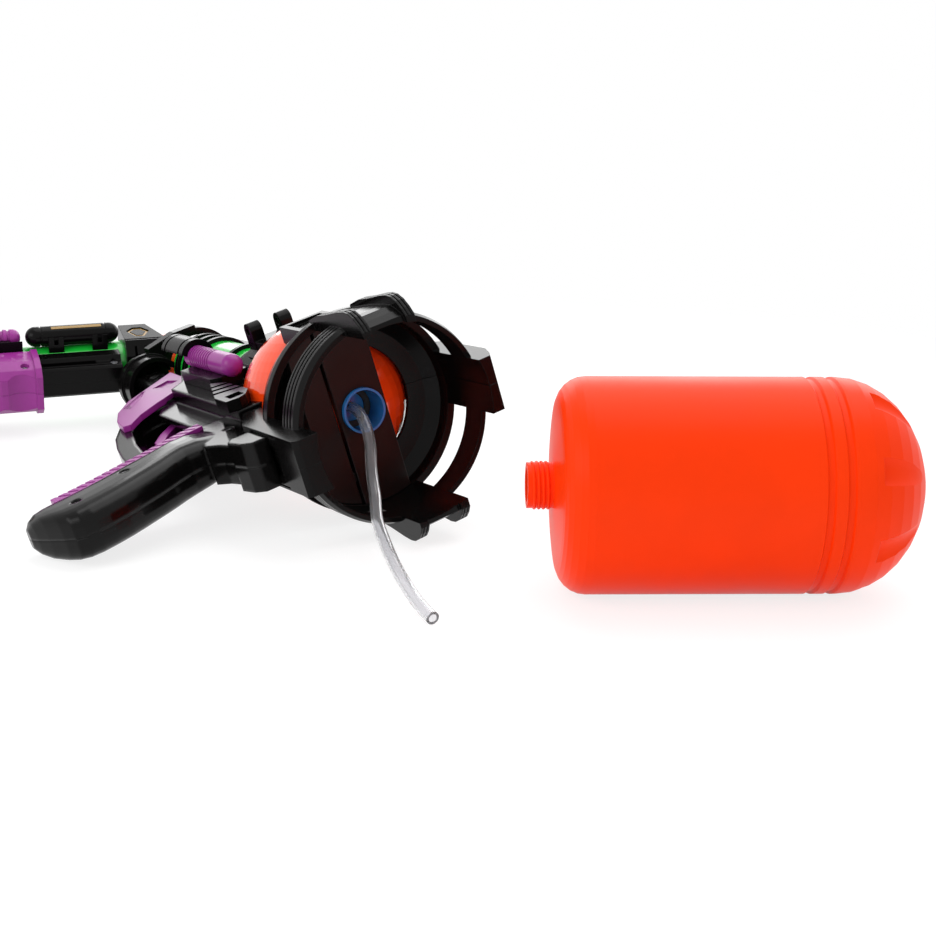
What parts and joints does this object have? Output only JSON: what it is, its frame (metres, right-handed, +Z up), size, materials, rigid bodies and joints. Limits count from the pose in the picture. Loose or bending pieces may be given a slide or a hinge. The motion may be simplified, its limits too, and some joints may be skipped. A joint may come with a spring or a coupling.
{
  "type": "water squirter",
  "caption": "Pump water squirter lying on its side with its barrel broken open, a caged screw-on tank lying unscrewed beside it and a clear suction tube hanging from the blue tank socket.",
  "frame": {"origin": "on the table under the middle of the laid-out set, hanging hose left out", "axes": "+X along the table from the folded barrel to the tank, +Z up from the table"},
  "size_m": [0.7191, 0.5394, 0.1546],
  "materials": {
    "black_plastic": "gloss black moulding",
    "dark_plastic": "gloss dark brown-black moulding",
    "purple_plastic": "satin purple moulding",
    "green_plastic": "gloss bright green",
    "orange_plastic": "satin orange-red",
    "blue_plastic": "translucent blue",
    "clear_hose": "clear flexible hose",
    "seal_rubber": "black rubber",
    "steel": "plated steel",
    "white_plastic": "natural white inner moulding"
  },
  "bodies": {
    "rear": {"left_shell": "black_plastic", "right_shell": "black_plastic", "grip_strip": "purple_plastic", "guard_trim": "purple_plastic", "cage_left": "black_plastic", "cage_right": "black_plastic", "socket_bridge": "dark_plastic", "tank_socket": "blue_plastic", "socket_seal": "seal_rubber", "suction_tube": "clear_hose", "pressure_ball": "orange_plastic", "ball_collar": "black_plastic", "green_core": "green_plastic", "core_hoops": "black_plastic", "top_beam": "black_plastic", "bulkhead": "black_plastic", "break_pin": "steel", "side_bolts": "purple_plastic", "bolt_sleeves": "black_plastic", "bolt_trays": "black_plastic", "side_blocks": "black_plastic", "trigger_pin": "steel", "trigger_spring": "steel", "valve_body": "white_plastic", "feed_tube": "clear_hose", "shell_screws": "steel"},
    "barrel": {"breech_block": "black_plastic", "breech_plug": "orange_plastic", "plug_seal": "seal_rubber", "barrel_tube": "green_plastic", "canister": "black_plastic", "canister_clips": "black_plastic", "rail_left": "black_plastic", "rail_right": "black_plastic", "pump_cylinder": "white_plastic", "front_bolts": "purple_plastic", "front_trays": "black_plastic", "front_cap": "black_plastic", "nozzle": "orange_plastic", "rail_screws": "steel"},
    "pump": {"pump_grip_left": "purple_plastic", "pump_grip_right": "purple_plastic", "pump_carriage": "white_plastic", "pump_rod": "steel", "pump_piston": "seal_rubber", "pump_screws": "steel"},
    "trigger": {"trigger": "purple_plastic"},
    "valve_stem": {"valve_stem": "white_plastic"},
    "tank": {"tank": "orange_plastic"}
  },
  "joints": [
    {"name": "barrel_fold", "type": "hinge", "parent": "rear", "child": "barrel", "pos_m": [-0.26124, 0.01186, 0.03934], "axis": [-0.0767, -0.0017, 0.9971], "range_deg": [-81, 0]},
    {"name": "pump_slide", "type": "slide", "parent": "barrel", "child": "pump", "axis": [0.1558, 0.9877, 0.0137], "range_m": [0, 0.056]},
    {"name": "trigger_pull", "type": "hinge", "parent": "rear", "child": "trigger", "pos_m": [-0.0942, -0.01218, 0.04532], "axis": [-0.0738, -0.274, 0.9589], "range_deg": [0, 14], "stiffness_Nm_per_rad": 0.5, "springref_deg": -11.46, "deforming": ["trigger_spring"]},
    {"name": "valve_stroke", "type": "slide", "parent": "rear", "child": "valve_stem", "axis": [-0.9971, 0, -0.0767], "range_m": [0, 0.003]},
    {"name": "tank_roll", "type": "hinge", "parent": "rear", "child": "tank", "pos_m": [0.26464, 0.14762, 0.0612], "axis": [0.4617, 0.887, 0], "continuous": true}
  ],
  "couplings": [
    {"joint": "valve_stroke", "follows": "trigger_pull", "m_per_rad": 0.009}
  ]
}
